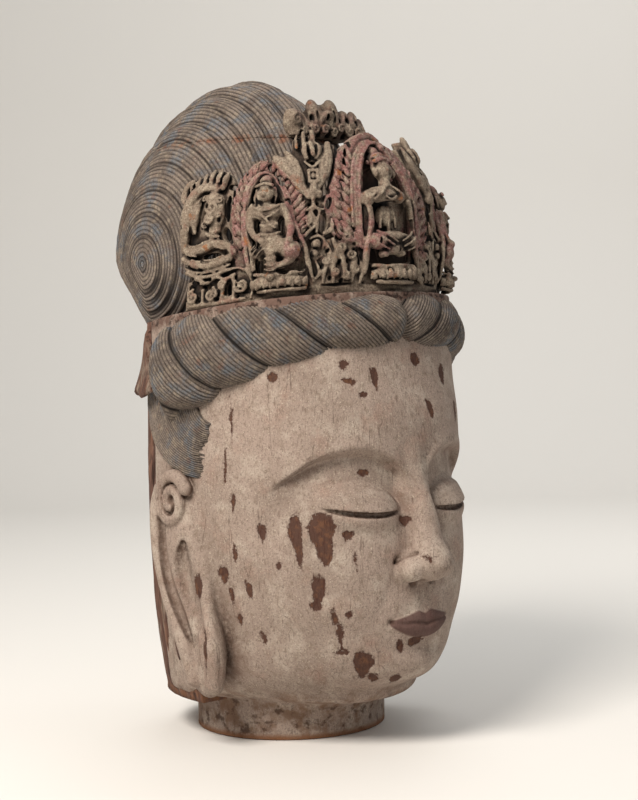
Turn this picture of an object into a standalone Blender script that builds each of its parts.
"""A carved and painted wooden bodhisattva head.

Four blocks stand on each other: the head with its neck stub and twisted hair roll, the openwork crown on the
ledge above the roll, the lower block of the topknot, and the cap block above the seam. Metres, +Z up, the face
looks along -Y, and the origin is the centre of the neck's flat underside.
"""
import math

import bmesh
import bpy
from mathutils import Matrix, Vector

# Head block
NECK_RADIUS = 0.101
NECK_SET_BACK = 0.019
CHIN_HEIGHT = 0.060
FACE_LENGTH = 0.340
HEAD_HALF_WIDTH = 0.150
FACE_DEPTH = 0.186
BACK_DEPTH = 0.153
FALL_HEM_DROP = 0.020
LAP_FLARE = 0.013
LAP_LENGTH = 0.070
EAR_LENGTH = 0.232
EAR_PROUD = 0.013

# Twisted roll of hair
ROLL_RADIUS_FRONT = 0.030
ROLL_RADIUS_SIDE = 0.046
ROLL_TURN_LENGTH = 0.125
ROLL_PROUD = 0.032
ROLL_HALF_SWEEP = math.radians(104)

# Ledge that the crown and the topknot stand on, above the hairline
LEDGE_RISE = 0.040
LEDGE_TILT = math.radians(6)

# Crown, laid out flat as a band and then bent round
CROWN_WALL = 0.009
CROWN_HALF_SWEEP = math.radians(88)
CROWN_HEIGHT = 0.133
CROWN_ROOT = 0.012
CENTRE_MANDORLA_HEIGHT = 0.166
CENTRE_MANDORLA_WIDTH = 0.128
SIDE_MANDORLA_HEIGHT = 0.140
SIDE_MANDORLA_WIDTH = 0.080
SIDE_MANDORLA_ANGLE = math.radians(49.5)
JEWEL_ANGLE = math.radians(31.5)
DRAGON_ANGLE = math.radians(74)

# Topknot
KNOT_HALF_WIDTH = 0.132
KNOT_DEPTH = 0.280
KNOT_HEIGHT = 0.310
KNOT_CENTRE_SET_BACK = 0.080
KNOT_CENTRE_RISE = 0.100
KNOT_LOCKS = 9
KNOT_LOCK_DEPTH = 0.0040
SEAM_RISE = 0.181
CREST_WIDTH = 0.110
CREST_HEIGHT = 0.046
CREST_SET_FORWARD = 0.040

# Fits and surface fineness
GAP = 0.0003
KNOT_TO_CROWN = 0.011
HEAD_VOXEL = 0.0032
CROWN_VOXEL = 0.0020
KNOT_VOXEL = 0.0035
HEAD_TRIANGLES = 3900
CROWN_TRIANGLES = 3700
KNOT_TRIANGLES = 1350
CAP_TRIANGLES = 600
SPHERE_SEGMENTS = 20
SPHERE_RINGS = 12

# Sizes that follow from the ones above
LEDGE_HEIGHT = CHIN_HEIGHT + FACE_LENGTH + LEDGE_RISE
CROWN_RADIUS = KNOT_HALF_WIDTH + KNOT_TO_CROWN + CROWN_WALL

# Modelling units: a 340th of the face, a 232nd of the ear, a 166th of the crown, each about a millimetre here
FACE_UNIT = FACE_LENGTH / 340
EAR_UNIT = EAR_LENGTH / 232
CROWN_UNIT = CENTRE_MANDORLA_HEIGHT / 166


def smooth_step(low, high, value):
    """Rise smoothly from 0 at low to 1 at high."""
    share = min(max((value - low) / (high - low), 0.0), 1.0)
    return share * share * (3 - 2 * share)


def through(stations, place):
    """Read the values at a place from stations (place, value, value, ...), eased between neighbours."""
    if place <= stations[0][0]:
        return stations[0][1:]
    for before, after in zip(stations, stations[1:]):
        if place <= after[0]:
            even = (place - before[0]) / (after[0] - before[0])
            share = 0.5 * smooth_step(before[0], after[0], place) + 0.5 * even
            return [a + (b - a) * share for a, b in zip(before[1:], after[1:])]
    return stations[-1][1:]


def bell(distance, width):
    """A smooth hump of height 1 that fades over the width."""
    return math.exp(-(distance / width) ** 2)


def make_material(name, colour, roughness):
    """Make a plain Principled material."""
    material = bpy.data.materials.new(name)
    material.use_nodes = True
    shader = material.node_tree.nodes["Principled BSDF"]
    shader.inputs["Base Color"].default_value = (*colour, 1)
    shader.inputs["Roughness"].default_value = roughness
    shader.inputs["Metallic"].default_value = 0.0
    material.diffuse_color = (*colour, 1)
    return material


def make_object(name, mesh, collection):
    """Put a mesh in the scene."""
    thing = bpy.data.objects.new(name, mesh)
    collection.objects.link(thing)
    return thing


def mesh_from(build):
    """Run a bmesh builder and return the mesh."""
    work = bmesh.new()
    build(work)
    bmesh.ops.recalc_face_normals(work, faces=work.faces)
    mesh = bpy.data.meshes.new("form")
    work.to_mesh(mesh)
    work.free()
    return mesh


def ellipsoid(centre, radii, turn=(0, 0, 0)):
    """A ball stretched to three radii and turned about X, Y and Z, in degrees."""
    rotation = Matrix.Rotation(math.radians(turn[2]), 4, "Z")
    rotation @= Matrix.Rotation(math.radians(turn[1]), 4, "Y") @ Matrix.Rotation(math.radians(turn[0]), 4, "X")
    place = Matrix.Translation(centre) @ rotation @ Matrix.Diagonal((*radii, 1))

    def build(work):
        bmesh.ops.create_uvsphere(work, u_segments=SPHERE_SEGMENTS, v_segments=SPHERE_RINGS, radius=1, matrix=place)
    return mesh_from(build)


def cylinder(centre, radius, low, high):
    """An upright cylinder."""
    place = Matrix.Translation((centre[0], centre[1], (low + high) / 2))

    def build(work):
        bmesh.ops.create_cone(work, cap_ends=True, segments=64, radius1=radius, radius2=radius,
                              depth=high - low, matrix=place)
    return mesh_from(build)


def block(low, high):
    """A box between two corners."""
    middle = [(a + b) / 2 for a, b in zip(low, high)]
    size = [b - a for a, b in zip(low, high)]
    place = Matrix.Translation(middle) @ Matrix.Diagonal((*size, 1))
    return mesh_from(lambda work: bmesh.ops.create_cube(work, size=1, matrix=place))


def loft(rings):
    """Skin closed rings of equal count, with flat ends."""
    def build(work):
        rows = [[work.verts.new(point) for point in ring] for ring in rings]
        count = len(rows[0])
        for low, high in zip(rows, rows[1:]):
            for i in range(count):
                j = (i + 1) % count
                work.faces.new((low[i], low[j], high[j], high[i]))
        work.faces.new(rows[0][::-1])
        work.faces.new(rows[-1])
    return mesh_from(build)


def take_mesh(source):
    """Turn a curve object into a welded mesh and remove the curve."""
    evaluated = source.evaluated_get(bpy.context.evaluated_depsgraph_get())
    mesh = bpy.data.meshes.new_from_object(evaluated)
    curve = source.data
    bpy.data.objects.remove(source)
    bpy.data.curves.remove(curve)
    work = bmesh.new()
    work.from_mesh(mesh)
    bmesh.ops.remove_doubles(work, verts=work.verts, dist=0.00005)
    work.to_mesh(mesh)
    work.free()
    return mesh


def tube(points, radii):
    """A round bar along points, with its own radius at each point."""
    curve = bpy.data.curves.new("tube", "CURVE")
    curve.dimensions = "3D"
    curve.bevel_depth = 1.0
    curve.bevel_resolution = 2
    curve.use_fill_caps = True
    spline = curve.splines.new("POLY")
    spline.points.add(len(points) - 1)
    for target, point, radius in zip(spline.points, points, radii):
        target.co = (*point, 1)
        target.radius = radius
    source = bpy.data.objects.new("tube", curve)
    bpy.context.scene.collection.objects.link(source)
    bpy.context.view_layer.update()
    return take_mesh(source)


def plate(outline, outer, inner):
    """A flat outline in the crown's laid-out plane (along, height), from one depth to another."""
    rings = [[(along, -depth, height) for along, height in outline] for depth in (outer, inner)]
    return loft(rings)


def fuse(name, meshes, voxel, collection):
    """Carve overlapping forms out of one block: join them and skin the whole with a voxel remesh."""
    work = bmesh.new()
    for mesh in meshes:
        work.from_mesh(mesh)
        bpy.data.meshes.remove(mesh)
    joined = bpy.data.meshes.new(name)
    work.to_mesh(joined)
    work.free()
    fused = make_object(name, joined, collection)
    reskin(fused, voxel)
    return fused


def reskin(thing, voxel):
    """Give a piece one closed skin of even faces."""
    skin = thing.modifiers.new("One block", "REMESH")
    skin.mode = "VOXEL"
    skin.voxel_size = voxel
    skin.use_smooth_shade = True
    settle(thing)


def settle(thing):
    """Replace an object's mesh by what its modifiers make of it."""
    bpy.context.view_layer.update()
    evaluated = thing.evaluated_get(bpy.context.evaluated_depsgraph_get())
    mesh = bpy.data.meshes.new_from_object(evaluated)
    old = thing.data
    thing.modifiers.clear()
    thing.data = mesh
    bpy.data.meshes.remove(old)


def thin_out(thing, triangles):
    """Bring a dense carving down to a number of triangles."""
    thing.data.calc_loop_triangles()
    reduce = thing.modifiers.new("Fewer faces", "DECIMATE")
    reduce.ratio = min(1.0, triangles / len(thing.data.loop_triangles))
    reduce.use_collapse_triangulate = True
    settle(thing)


def cut(thing, cutter_mesh, name, cutters):
    """Subtract a cutter from a piece."""
    cutter = make_object(name, cutter_mesh, cutters)
    cutter.hide_render = True
    cutter.display_type = "WIRE"
    knife = thing.modifiers.new(name, "BOOLEAN")
    knife.operation = "DIFFERENCE"
    knife.object = cutter
    settle(thing)


def ledge_height(y, above=0.0):
    """Height of the tilted ledge at a distance behind the axis."""
    return LEDGE_HEIGHT - y * math.tan(LEDGE_TILT) + above


def ledge_block(from_above, upper_side):
    """A block that ends on a plane parallel to the ledge, on its upper or its lower side."""
    reach = 2 * KNOT_HEIGHT
    far = reach if upper_side else -reach

    def build(work):
        corners = []
        for y in (-reach, reach):
            near = ledge_height(y, from_above)
            for x in (-reach, reach):
                corners.append((work.verts.new((x, y, near)), work.verts.new((x, y, near + far))))
        a, b, c, d = corners
        for first, second in ((a, b), (b, d), (d, c), (c, a)):
            work.faces.new((first[0], second[0], second[1], first[1]))
        for end in (0, 1):
            work.faces.new((a[end], b[end], d[end], c[end]))
    return mesh_from(build)


# The head block: sections from the jaw up, as shares of the face length above the chin
HEAD_SECTIONS = (
    # share of face length, half width, front depth, back depth, taper of the front
    (-0.06, 0.88, 0.46, 1.00, 0.30),
    (-0.02, 0.91, 0.76, 1.00, 0.34),
    (0.04, 0.93, 0.92, 1.00, 0.34),
    (0.12, 0.95, 0.99, 1.00, 0.29),
    (0.26, 0.98, 1.00, 1.00, 0.18),
    (0.42, 1.00, 1.00, 1.00, 0.09),
    (0.60, 1.01, 0.99, 1.00, 0.03),
    (0.80, 1.00, 0.965, 1.00, 0.00),
    (0.92, 1.00, 0.92, 1.00, 0.00),
    (1.04, 1.02, 0.89, 0.95, 0.00),
    (1.12, 1.03, 0.88, 0.90, 0.00),
    (1.30, 1.03, 0.88, 0.90, 0.00),
)
BROW_SHARE = 0.665
EAR_TOP_SHARE = 0.656
EYE_SHARE = 0.565
NOSE_BASE_SHARE = 0.335
MOUTH_SHARE = 0.205


def face_height(share):
    """Height of a level given as a share of the face length above the chin."""
    return CHIN_HEIGHT + share * FACE_LENGTH


def head_point(angle, height):
    """A point of the plain head block, at an angle from the front and a height."""
    share = (height - CHIN_HEIGHT) / FACE_LENGTH
    width, front, back, taper = through(HEAD_SECTIONS, share)
    depth = FACE_DEPTH * front if math.cos(angle) > 0 else BACK_DEPTH * back
    power = 2 / 2.25
    across = math.copysign(abs(math.sin(angle)) ** power, math.sin(angle))
    along = math.copysign(abs(math.cos(angle)) ** power, math.cos(angle))
    narrowing = 1 - taper * max(along, 0.0) ** 1.3
    return Vector((HEAD_HALF_WIDTH * width * across * narrowing, -depth * along, height))


def brow_curve(across):
    """Height of the brow line at a distance from the middle of the face."""
    peak = 0.43 * HEAD_HALF_WIDTH
    reach = (across - peak) / HEAD_HALF_WIDTH
    drop = 1.05 * reach * reach if reach < 0 else 0.62 * reach * reach
    return face_height(BROW_SHARE + 0.065 - drop)


def face_relief(across, height):
    """How far the face stands out of, or is cut into, the plain block: sockets, brows, lids, cheeks."""
    unit = FACE_UNIT
    side = abs(across)
    eye_across = 0.41 * HEAD_HALF_WIDTH
    outer = side / HEAD_HALF_WIDTH
    under_brow = brow_curve(side) - height
    over_socket = smooth_step(-4 * unit, 9 * unit, under_brow)
    over_socket *= 1 - smooth_step(28 * unit, 75 * unit, under_brow)
    in_socket = smooth_step(0.08, 0.26, outer) * (1 - smooth_step(0.66, 0.92, outer))
    relief = -13 * unit * over_socket * in_socket
    lid_height = face_height(EYE_SHARE) + 4 * unit
    lid = ((side - eye_across) / (43 * unit)) ** 2 + ((height - lid_height) / (19 * unit)) ** 2
    relief += 11 * unit * math.sqrt(max(0.0, 1 - lid))
    slit = height - face_height(EYE_SHARE - 0.028) - 0.10 * (side - eye_across)
    relief -= 3 * unit * bell(slit, 3 * unit) * bell(side - eye_across, 40 * unit)
    cheek_height = height - face_height(0.33)
    relief += 7 * unit * bell(side - 0.55 * HEAD_HALF_WIDTH, 50 * unit) * bell(cheek_height, 70 * unit)
    relief += 4 * unit * bell(across, 30 * unit) * bell(height - face_height(0.06), 26 * unit)
    relief -= 4 * unit * bell(across, 45 * unit) * bell(height - face_height(0.125), 10 * unit)
    return relief


def head_form():
    """The head block with the sockets, lids and cheeks cut into its front."""
    low = CHIN_HEIGHT - FALL_HEM_DROP
    high = ledge_height(-FACE_DEPTH, 10 * FACE_UNIT)
    levels = 110
    columns = 140
    rings = []
    for level in range(levels + 1):
        height = low + (high - low) * level / levels
        ring = []
        for column in range(columns):
            angle = math.tau * column / columns
            point = head_point(angle, height)
            if math.cos(angle) > 0:
                point.y -= face_relief(point.x, height) * smooth_step(0.0, 0.35, math.cos(angle))
            ring.append(point)
        rings.append(ring)
    return loft(rings)


def surface_depth(height):
    """Distance of the plain face in front of the axis at a height."""
    return -head_point(0.0, height).y


def nose_forms():
    """Bridge, tip and wings of the nose."""
    unit = FACE_UNIT
    root_height = face_height(BROW_SHARE + 0.01)
    tip_height = face_height(NOSE_BASE_SHARE + 0.055)
    base_height = face_height(NOSE_BASE_SHARE + 0.010)
    steps = 13
    sides = 20
    buried = 12 * unit
    rings = []
    for step in range(steps + 2):
        share = min(step / steps, 1.0)
        height = root_height + (tip_height - root_height) * share
        proud = (1 + 34 * share ** 1.2) * unit
        half = (9.5 + 7.5 * share ** 1.5) * unit
        if step > steps:
            height = base_height
            proud *= 0.72
        depth = surface_depth(height)
        ring = []
        for i in range(sides):
            turn = math.tau * i / sides
            forward = (proud if math.sin(turn) > 0 else 0.0) + buried
            foot = 1 + 0.9 * (1 - max(math.sin(turn), 0.0)) ** 2
            ring.append((half * foot * math.cos(turn), buried - depth - forward * math.sin(turn), height))
        rings.append(ring)
    tip_depth = -surface_depth(tip_height) - 19 * unit
    forms = [loft(rings), ellipsoid((0, tip_depth, tip_height - unit), (18 * unit, 19 * unit, 16.5 * unit))]
    for side in (-1, 1):
        wing = (side * 18.5 * unit, tip_depth + 15 * unit, tip_height - 5 * unit)
        forms.append(ellipsoid(wing, (12 * unit, 18.5 * unit, 13.5 * unit), (0, 0, side * 18)))
    return forms


def lip_forms():
    """Upper and lower lip, each a bow of short bars."""
    forms = []
    for lift, drop, thickness, reach in ((5.5, 0.0, 5.8, 40), (-6.8, 4.0, 7.0, 33)):
        points = []
        radii = []
        for step in range(13):
            share = -1 + step / 6
            across = reach * share * FACE_UNIT
            bow = lift * (1 - share * share) + drop * share * share
            height = face_height(MOUTH_SHARE) + bow * FACE_UNIT
            depth = -head_point(math.asin(across / HEAD_HALF_WIDTH), height).y
            points.append((across, -depth - 2.5 * (1 - share * share) * FACE_UNIT, height))
            radii.append(thickness * (1 - 0.75 * share * share) * FACE_UNIT)
        forms.append(tube(points, radii))
    return forms


def ear_forms(side):
    """One long ear: curled rim above, a broad hanging lobe below."""
    unit = EAR_UNIT
    ear_side = HEAD_HALF_WIDTH + EAR_PROUD * 0.5
    ear_top = face_height(EAR_TOP_SHARE)
    lobe_foot = ear_top - EAR_LENGTH
    curl_centre = ear_top - 34 * unit
    turns = 32
    points = []
    radii = []
    for step in range(turns + 1):
        share = step / turns
        turn = math.radians(120 - 510 * (1 - share))
        reach = 24 * unit * (0.30 + 0.70 * share)
        place = (side * (ear_side - 2 * unit * share), 10 * unit + reach * math.cos(turn),
                 curl_centre + 1.15 * reach * math.sin(turn))
        points.append(place)
        radii.append((6 + 1.5 * share) * unit)
    forms = [tube(points, radii)]
    rim = []
    radii = []
    for step in range(15):
        share = step / 14
        height = ear_top - 12 * unit - (EAR_LENGTH - 34 * unit) * share
        y = (36 - 5 * math.sin(math.pi * share) - 60 * smooth_step(0.45, 1.0, share)) * unit
        rim.append((side * (ear_side - 2 * unit), y, height))
        radii.append((7.5 + 4.5 * share) * unit)
    forms.append(tube(rim, radii))
    lobe = (side * (ear_side - 4 * unit), -28 * unit, lobe_foot + 48 * unit)
    forms.append(ellipsoid(lobe, (12.5 * unit, 25 * unit, 50 * unit), (-7, 0, 0)))
    shell = (side * (ear_side - 10 * unit), 6 * unit, (curl_centre + lobe_foot) / 2 + 20 * unit)
    forms.append(ellipsoid(shell, (12.5 * unit, 30 * unit, 88 * unit), (-12, 0, 0)))
    return forms


def roll_path(angle):
    """Centre of the hair roll and its outward and upright radii, at an angle from the front."""
    share = min(abs(angle) / math.radians(90), 1.16)
    upright = ROLL_RADIUS_FRONT + (ROLL_RADIUS_SIDE - ROLL_RADIUS_FRONT) * share ** 1.6
    outward = ROLL_RADIUS_FRONT + 0.45 * (ROLL_RADIUS_SIDE - ROLL_RADIUS_FRONT) * share
    reach = CROWN_RADIUS + ROLL_PROUD - outward
    drop = 2 * FACE_UNIT + upright + 16 * FACE_UNIT * smooth_step(0.75, 1.16, share)
    centre = Vector((reach * math.sin(angle), -reach * math.cos(angle), 0))
    centre.z = ledge_height(centre.y) - drop
    return centre, outward, upright


def roll_form(side):
    """Half of the roll: a two-strand rope that runs from the middle of the forehead to behind the ear."""
    steps = 110
    sides = 40
    rings = []
    length = 0.0
    before = None
    for step in range(steps + 1):
        angle = side * (ROLL_HALF_SWEEP * step / steps - math.radians(2))
        centre, outward, upright = roll_path(angle)
        length += (centre - before).length if before else 0.0
        before = centre
        out = Vector((math.sin(angle), -math.cos(angle), 0))
        share = step / steps
        taper = 1 - 0.55 * smooth_step(0.80, 1.0, share) - 0.25 * (1 - smooth_step(0.0, 0.05, share))
        ring = []
        for i in range(sides):
            turn = math.tau * i / sides
            strand = turn + side * math.tau * length / ROLL_TURN_LENGTH
            swell = 0.34 * abs(math.cos(strand)) + math.sqrt(0.66 ** 2 - (0.34 * math.sin(strand)) ** 2)
            ring.append(centre + taper * swell * (out * outward * math.cos(turn)
                                                  + Vector((0, 0, upright * math.sin(turn)))))
        rings.append(ring)
    return loft(rings)


def lap_form():
    """The short flared lap over the top of the painted fall, round the back of the head."""
    steps = 60
    sweep = math.radians(150)
    top = ledge_height(BACK_DEPTH, -2 * FACE_UNIT)
    hem = top - LAP_LENGTH
    buried = -0.2 * BACK_DEPTH
    lip = 0.45 * LAP_FLARE
    rings = []
    for step in range(steps + 1):
        angle = math.pi + sweep * (step / steps - 0.5)
        scallop = 0.3 * LAP_FLARE * math.cos(math.tau * 7 * step / steps)
        profile = ((buried, top), (0.15 * LAP_FLARE, top), (0.5 * LAP_FLARE, (top + hem) / 2),
                   (LAP_FLARE, hem + scallop), (LAP_FLARE - lip, hem + scallop - 0.3 * LAP_FLARE),
                   (buried, hem + LAP_FLARE))
        ring = []
        for reach, height in profile:
            base = head_point(angle, height)
            out = Vector((base.x, base.y, 0)).normalized()
            ring.append(base + out * reach)
        rings.append(ring)
    return loft(rings)


def make_head(collection, cutters, material):
    """The main block."""
    spare = 2 * HEAD_VOXEL
    forms = [head_form(), cylinder((0, NECK_SET_BACK), NECK_RADIUS, -spare, CHIN_HEIGHT + 0.3 * NECK_RADIUS)]
    under_chin = (0, NECK_SET_BACK - 0.53 * NECK_RADIUS, CHIN_HEIGHT - 4 * FACE_UNIT)
    forms.append(ellipsoid(under_chin, (0.94 * NECK_RADIUS, 1.04 * NECK_RADIUS, 22 * FACE_UNIT), (6, 0, 0)))
    forms += nose_forms() + lip_forms()
    for side in (-1, 1):
        forms += ear_forms(side)
        forms.append(roll_form(side))
    forms.append(lap_form())
    head = fuse("head", forms, HEAD_VOXEL, collection)
    thin_out(head, HEAD_TRIANGLES)
    cut(head, ledge_block(0.0, True), "above_ledge", cutters)
    far = 2 * FACE_LENGTH
    cut(head, block((-far, -far, -far), (far, far, 0.0)), "below_neck", cutters)
    head.data.materials.clear()
    head.data.materials.append(material)
    return head


def crown_radius(height):
    """Radius of the crown's ground at a height above the ledge: upright below, leaning in above."""
    share = height / CENTRE_MANDORLA_HEIGHT
    lean = 0.05 * share + 0.19 * smooth_step(0.5, 1.15, share)
    return CROWN_RADIUS * (1 - lean)


def bend_crown(thing):
    """Bend the laid-out band round the head and stand it on the ledge."""
    for vertex in thing.data.vertices:
        along, out, height = vertex.co.x, -vertex.co.y, vertex.co.z
        angle = along / CROWN_RADIUS
        radius = crown_radius(height) + out
        y = -radius * math.cos(angle)
        vertex.co = (radius * math.sin(angle), y, ledge_height(y, height))
    thing.data.update()


def arch(middle, foot, width, height, inset=0.0):
    """Outline of a flame-shaped panel: upright sides that draw together to a point."""
    points = []
    steps = 14
    for side in (-1, 1):
        run = []
        for step in range(steps + 1):
            share = step / steps
            spread = (1 - share ** 2.6) ** 0.62
            across = (width / 2 - inset) * spread * (0.86 + 0.14 * math.sin(math.pi * min(1, share + 0.25)))
            run.append((middle + side * across, foot + (height - foot - inset) * share))
        points += run if side < 0 else run[:-1][::-1]
    return points


def seated_figure(middle, foot, height, worn):
    """A seated figure on a lotus, carved in high relief; a worn one has lost its middle."""
    unit = height / 100
    depth = 10 * CROWN_UNIT
    forms = [ellipsoid((middle, -depth, foot + 12 * unit), (23 * unit, 13 * CROWN_UNIT, 10 * unit)),
             ellipsoid((middle, -depth, foot + 20 * unit), (19 * unit, 12 * CROWN_UNIT, 6 * unit)),
             ellipsoid((middle, -depth, foot + 86 * unit), (9 * unit, 10 * CROWN_UNIT, 11.5 * unit)),
             ellipsoid((middle, 2 * CROWN_UNIT - depth, foot + 98 * unit), (6 * unit, 8 * CROWN_UNIT, 6 * unit))]
    for side in (-1, 1):
        knee = (middle + side * 14 * unit, -depth - 4 * CROWN_UNIT, foot + 35 * unit)
        forms.append(ellipsoid(knee, (9 * unit, 10 * CROWN_UNIT, 7.5 * unit)))
        shoulder = (middle + side * 13 * unit, -depth, foot + 70 * unit)
        elbow = (middle + side * 19 * unit, -depth, foot + 54 * unit)
        hand = (middle + side * 9 * unit, -depth - 6 * CROWN_UNIT, foot + 42 * unit)
        if not worn:
            forms.append(tube([shoulder, elbow, hand], [4.6 * unit, 4.2 * unit, 3.6 * unit]))
        scarf = []
        for step in range(9):
            share = step / 8
            across = side * (17 + 9 * math.sin(math.pi * share ** 0.8)) * unit
            scarf.append((middle + across, -6 * CROWN_UNIT, foot + (78 - 70 * share) * unit))
        forms.append(tube(scarf, [2.6 * unit] * 9))
    if worn:
        forms.append(ellipsoid((middle, -depth, foot + 66 * unit), (17 * unit, 10 * CROWN_UNIT, 8 * unit)))
        forms.append(ellipsoid((middle, -4 * CROWN_UNIT, foot + 47 * unit), (10 * unit, 7 * CROWN_UNIT, 8 * unit)))
    else:
        forms.append(ellipsoid((middle, -depth, foot + 63 * unit), (13.5 * unit, 10.5 * CROWN_UNIT, 14 * unit)))
        forms.append(ellipsoid((middle, -depth, foot + 45 * unit), (10 * unit, 10 * CROWN_UNIT, 12 * unit)))
        hanging_knee = (middle - 5 * unit, -16 * CROWN_UNIT, foot + 38 * unit)
        hanging_foot = (middle - 6 * unit, -17 * CROWN_UNIT, foot + 20 * unit)
        forms.append(tube([hanging_knee, hanging_foot], [5 * unit, 4 * unit]))
    for step in range(5):
        share = -1 + step / 2
        petal = (middle + 19 * unit * share, (6 * abs(share) - 18) * CROWN_UNIT, foot + 8 * unit)
        forms.append(ellipsoid(petal, (4.6 * unit, 5 * CROWN_UNIT, 6 * unit), (0, 18 * share, 0)))
    return forms


def flame_row(middle, foot, width, height, count):
    """Flame tongues along the edge of a panel."""
    unit = CROWN_UNIT
    forms = []
    outline = arch(middle, foot, width, height, inset=6 * unit)
    half = len(outline) // 2
    for step in range(count * 2):
        place = step % count
        run = outline[:half + 1] if step < count else outline[half + 1:][::-1]
        index = 2 + (len(run) - 3) * place / max(count - 1, 1)
        base = run[int(index)]
        lean = -24 if step < count else 24
        shape = (4.4 * unit, 6 * unit, 10.5 * unit)
        forms.append(ellipsoid((base[0], -3 * unit, base[1]), shape, (0, lean * (1 - place / count), 0)))
    return forms


def mandorla(middle, width, height, flames, worn):
    """One flame-bordered panel with its seated figure."""
    unit = CROWN_UNIT
    forms = [plate(arch(middle, 0.0, width, height), 3.5 * unit, -CROWN_WALL)]
    for inset, radius in ((8 * unit, 4.4 * unit), (17 * unit, 3.6 * unit)):
        rim = arch(middle, 12 * unit, width, height, inset)
        forms.append(tube([(along, -3 * unit, up) for along, up in rim], [radius] * len(rim)))
    forms += flame_row(middle, 18 * unit, width, height, flames)
    forms += seated_figure(middle, 6 * unit, height * 0.80, worn)
    nimbus_height = 6 * unit + 0.69 * height
    nimbus_radius = 0.27 * width
    ring = []
    for step in range(19):
        turn = math.radians(-30 + 240 * step / 18)
        along = middle + nimbus_radius * math.cos(turn)
        ring.append((along, -4 * unit, nimbus_height + nimbus_radius * math.sin(turn)))
    forms.append(tube(ring, [2.2 * unit] * len(ring)))
    return forms


def jewel_forms(middle, side):
    """The leaf and jewel motif between two panels, with buds and a scroll below."""
    unit = CROWN_UNIT
    band = 22 * unit
    forms = [block((middle - band, -2 * unit, 0.0), (middle + band, CROWN_WALL, 58 * unit)),
             block((middle - 12 * unit, -2 * unit, 52 * unit), (middle + 12 * unit, CROWN_WALL, 160 * unit))]
    for wing in (-1, 1):
        leaf = (middle + wing * 14 * unit, -4 * unit, 124 * unit)
        forms.append(ellipsoid(leaf, (7.5 * unit, 7.5 * unit, 34 * unit), (0, wing * 22, 0)))
        tip = (middle + wing * 11 * unit, -3 * unit, 156 * unit)
        forms.append(ellipsoid(tip, (4.8 * unit, 7 * unit, 16 * unit)))
    forms.append(ellipsoid((middle, -6 * unit, 147 * unit), (6.5 * unit, 8 * unit, 12 * unit)))
    forms.append(block((middle - 5.5 * unit, -9 * unit, 111 * unit), (middle + 5.5 * unit, 0.0, 124 * unit)))
    forms.append(ellipsoid((middle, -5 * unit, 96 * unit), (5.5 * unit, 7.5 * unit, 9 * unit)))
    for height in (50 * unit, 41 * unit):
        forms.append(ellipsoid((middle, -6 * unit, height), (5.2 * unit, 7 * unit, 5 * unit)))
    for wing, height in ((-1, 26 * unit), (1, 30 * unit), (1, 12 * unit), (-1, 10 * unit)):
        leaf = (middle + wing * 11 * unit, -4 * unit, height)
        forms.append(ellipsoid(leaf, (6 * unit, 8 * unit, 12 * unit), (0, side * wing * 28, 0)))
    return forms


def scroll(centre, radius, turns, start, thickness, side):
    """A flat spiral bar on the band."""
    points = []
    steps = int(14 * turns) + 2
    for step in range(steps + 1):
        share = step / steps
        turn = start + math.tau * turns * share
        reach = radius * (1 - 0.78 * share)
        along = centre[0] + side * reach * math.cos(turn)
        points.append((along, -4 * CROWN_UNIT, centre[1] + reach * math.sin(turn)))
    return tube(points, [thickness * (1 - 0.35 * step / steps) for step in range(steps + 1)])


def dragon_forms(side):
    """The end panel: a coiling beast above two cloud bands and a row of scrolls."""
    unit = CROWN_UNIT
    middle = side * DRAGON_ANGLE * CROWN_RADIUS
    half = (CROWN_HALF_SWEEP - DRAGON_ANGLE) * CROWN_RADIUS
    outline = [(middle - side * 36 * unit, 0.0), (middle - side * 36 * unit, 100 * unit),
               (middle - side * 20 * unit, 124 * unit), (middle, CROWN_HEIGHT),
               (middle + side * 0.6 * half, 126 * unit), (middle + side * half, 112 * unit),
               (middle + side * 0.80 * half, 60 * unit), (middle + side * 0.72 * half, 0.0)]
    forms = [plate(outline if side < 0 else outline[::-1], 0.0, -CROWN_WALL)]
    body = []
    for step in range(17):
        share = step / 16
        turn = math.radians(215 - 235 * share)
        along = middle + side * (2 + 22 * math.cos(turn)) * unit
        body.append((along, -5 * unit, (90 + 32 * math.sin(turn)) * unit))
    forms.append(tube(body, [(7.5 - 2.5 * step / 16) * unit for step in range(17)]))
    forms.append(scroll((middle - side * 8 * unit, 84 * unit), 13 * unit, 1.3, math.radians(100), 4.8 * unit, side))
    for step in range(4):
        tuft = (middle - side * (16 - 9 * step) * unit, -5 * unit, (121 + 4 * math.sin(2.2 * step)) * unit)
        forms.append(ellipsoid(tuft, (4.2 * unit, 6.5 * unit, 11 * unit), (0, side * (14 - 10 * step), 0)))
    for height, lift in ((56 * unit, 6 * unit), (36 * unit, -4 * unit)):
        cloud = []
        for step in range(11):
            share = -1 + step / 5
            cloud.append((middle + side * 32 * unit * share, -4 * unit, height + lift * (1 - share * share)))
        forms.append(tube(cloud, [4.8 * unit] * 11))
    for step in range(4):
        place = (middle + side * (28 - 17 * step) * unit, 14 * unit)
        forms.append(scroll(place, 8 * unit, 1.2, math.radians(60 + 40 * step), 3 * unit, side))
    return forms


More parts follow.
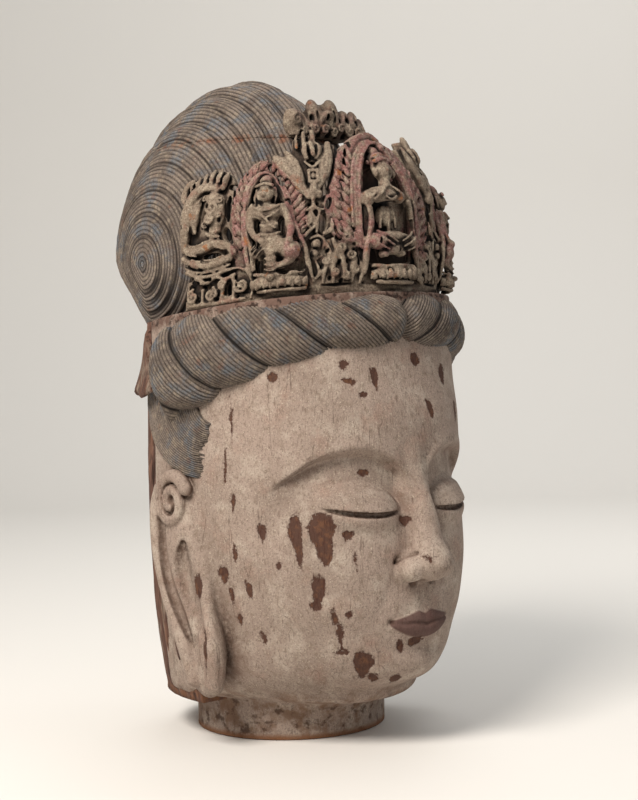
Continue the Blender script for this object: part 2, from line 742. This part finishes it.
def crown_holes(side):
    """Cutters for the open places of the crown."""
    unit = CROWN_UNIT
    dragon = side * DRAGON_ANGLE * CROWN_RADIUS
    jewel = side * (JEWEL_ANGLE - math.radians(3)) * CROWN_RADIUS
    deep = 40 * unit
    return [ellipsoid((dragon + side * 1.5 * unit, 0, 92 * unit), (5.2 * unit, deep, 16 * unit), (0, side * 14, 0)),
            ellipsoid((dragon - side * 26 * unit, 0, 95 * unit), (4 * unit, deep, 14 * unit)),
            ellipsoid((dragon - side * 22 * unit, 0, 69 * unit), (5 * unit, deep, 7 * unit)),
            ellipsoid((dragon + side * 2 * unit, 0, 46.5 * unit), (14 * unit, deep, 3.4 * unit)),
            ellipsoid((jewel, 0, 71 * unit), (5 * unit, deep, 9.5 * unit))]


def make_crown(collection, cutters, material):
    """The openwork crown: modelled flat, pierced, then bent round."""
    reach = CROWN_HALF_SWEEP * CROWN_RADIUS
    band_rise = 10 * CROWN_UNIT
    forms = [block((-reach * 0.96, -band_rise, -CROWN_ROOT), (reach * 0.96, CROWN_WALL, band_rise))]
    forms += mandorla(0.0, CENTRE_MANDORLA_WIDTH, CENTRE_MANDORLA_HEIGHT, 6, True)
    for side in (-1, 1):
        middle = side * SIDE_MANDORLA_ANGLE * CROWN_RADIUS
        forms += mandorla(middle, SIDE_MANDORLA_WIDTH, SIDE_MANDORLA_HEIGHT, 5, False)
        forms += jewel_forms(side * JEWEL_ANGLE * CROWN_RADIUS, side)
        forms += dragon_forms(side)
    crown = fuse("crown", forms, CROWN_VOXEL, collection)
    for side in (-1, 1):
        for number, hole in enumerate(crown_holes(side)):
            cut(crown, hole, f"crown_hole_{number}_{'right' if side < 0 else 'left'}", cutters)
    reskin(crown, CROWN_VOXEL)
    bend_crown(crown)
    thin_out(crown, CROWN_TRIANGLES)
    cut(crown, ledge_block(GAP, False), "crown_foot", cutters)
    crown.data.materials.clear()
    crown.data.materials.append(material)
    return crown


def flatten_below(thing, height):
    """Take away what lies well below a cut, and close the piece with one flat face."""
    work = bmesh.new()
    work.from_mesh(thing.data)
    everything = work.verts[:] + work.edges[:] + work.faces[:]
    bmesh.ops.bisect_plane(work, geom=everything, plane_co=(0, 0, height), plane_no=(0, 0, 1), clear_inner=True)
    bmesh.ops.holes_fill(work, edges=[edge for edge in work.edges if edge.is_boundary])
    work.to_mesh(thing.data)
    work.free()


def knot_point(share, turn):
    """A point of the chignon: loops of hair that rise from the foot and go over the top to the side poles."""
    side = math.sqrt(share * share + 0.08) - math.sqrt(0.08)
    across = KNOT_HALF_WIDTH * share
    spread = max(1 - share * share, 0.0) ** 0.45
    locks = KNOT_LOCK_DEPTH * (math.cos(math.pi * KNOT_LOCKS * share) - 1) / 2 * (1 - share ** 4)
    middle_y = KNOT_CENTRE_SET_BACK + 0.11 * KNOT_HALF_WIDTH * side
    middle_z = LEDGE_HEIGHT + KNOT_CENTRE_RISE - 0.46 * KNOT_HALF_WIDTH * side
    back_foot = max(math.cos(turn), 0.0) * max(-math.sin(turn), 0.0)
    tuck = 1 - 0.42 * back_foot
    reach_y = (KNOT_DEPTH / 2 * spread + locks) * tuck
    reach_z = (KNOT_HEIGHT / 2 * spread + locks) * tuck
    return Vector((across, middle_y + reach_y * math.cos(turn), middle_z + reach_z * math.sin(turn)))


def knot_form():
    """The whole chignon: a ball whose rows run across from pole to pole, moved into shape."""
    def build(work):
        turn_poles = Matrix.Rotation(math.pi / 2, 4, "Y")
        bmesh.ops.create_uvsphere(work, u_segments=96, v_segments=72, radius=1, matrix=turn_poles)
        for vertex in work.verts:
            vertex.co = knot_point(max(-1, min(1, vertex.co.x)), math.atan2(vertex.co.z, vertex.co.y))
    return mesh_from(build)


def foot_form():
    """The plain foot that carries the chignon on the ledge."""
    rings = []
    for share in (-0.3, 0.0, 0.5, 1.0):
        ring = []
        for step in range(48):
            turn = math.tau * step / 48
            x = 0.80 * KNOT_HALF_WIDTH * math.cos(turn)
            y = KNOT_CENTRE_SET_BACK + KNOT_DEPTH * (0.27 * math.sin(turn) - 0.043)
            ring.append((x, y, LEDGE_HEIGHT + share * KNOT_CENTRE_RISE))
        rings.append(ring)
    return loft(rings)


def crest_forms(seam):
    """The small crest on the front of the cap: bosses below, pointed leaves above."""
    unit = CREST_HEIGHT / 46
    y = KNOT_CENTRE_SET_BACK - KNOT_DEPTH / 2 + CREST_SET_FORWARD - 18 * unit
    half = CREST_WIDTH / 2
    forms = [block((-0.86 * half, y, seam - 20 * unit), (0.86 * half, y + 70 * unit, seam + 16.5 * unit))]
    for step in range(5):
        share = -1 + step / 2
        boss = (share * half * 0.86, y + (2 + 10 * abs(share)) * unit, seam + 15.5 * unit)
        forms.append(ellipsoid(boss, (10.5 * unit, 11 * unit, 13 * unit)))
    for across, height in ((-0.30, 0.93), (0.12, 1.0), (0.48, 0.80), (-0.66, 0.62)):
        leaf = (across * half, y + 12 * unit, seam + 0.5 * height * CREST_HEIGHT)
        forms.append(ellipsoid(leaf, (9.5 * unit, 9 * unit, 0.5 * height * CREST_HEIGHT)))
    return forms


def make_topknot(collection, cutters, material):
    """Lower and upper block of the chignon, parted at the level seam."""
    seam = LEDGE_HEIGHT + SEAM_RISE
    far = 2 * KNOT_HEIGHT
    lower = fuse("topknot", [knot_form(), foot_form()], KNOT_VOXEL, collection)
    thin_out(lower, KNOT_TRIANGLES)
    cut(lower, ledge_block(GAP, False), "topknot_foot", cutters)
    cut(lower, block((-far, -far, seam), (far, far, seam + far)), "above_seam", cutters)
    upper = fuse("topknot_cap", [knot_form()] + crest_forms(seam), KNOT_VOXEL * 0.7, collection)
    flatten_below(upper, seam - 0.26 * CREST_HEIGHT)
    thin_out(upper, CAP_TRIANGLES)
    cut(upper, block((-far, -far, -far), (far, far, seam + GAP)), "below_seam", cutters)
    for piece in (lower, upper):
        piece.data.materials.clear()
        piece.data.materials.append(material)
    return lower, upper


def main():
    for thing in list(bpy.data.objects):
        bpy.data.objects.remove(thing)
    collection = bpy.data.collections.new("bodhisattva_head")
    cutters = bpy.data.collections.new("cutters")
    for group in (collection, cutters):
        bpy.context.scene.collection.children.link(group)
    gesso = make_material("Gesso_over_wood", (0.42, 0.34, 0.26), 0.85)
    crown_paint = make_material("Worn_pink_and_grey_paint", (0.25, 0.18, 0.15), 0.88)
    hair_paint = make_material("Grey_hair_paint", (0.17, 0.15, 0.14), 0.88)
    cap_paint = make_material("Grey_hair_paint_cap", (0.19, 0.17, 0.15), 0.88)
    make_head(collection, cutters, gesso)
    make_crown(collection, cutters, crown_paint)
    lower, upper = make_topknot(collection, cutters, hair_paint)
    upper.data.materials[0] = cap_paint
    for piece in collection.objects:
        piece.data.shade_smooth()
        piece.data.set_sharp_from_angle(angle=math.radians(50))


main()
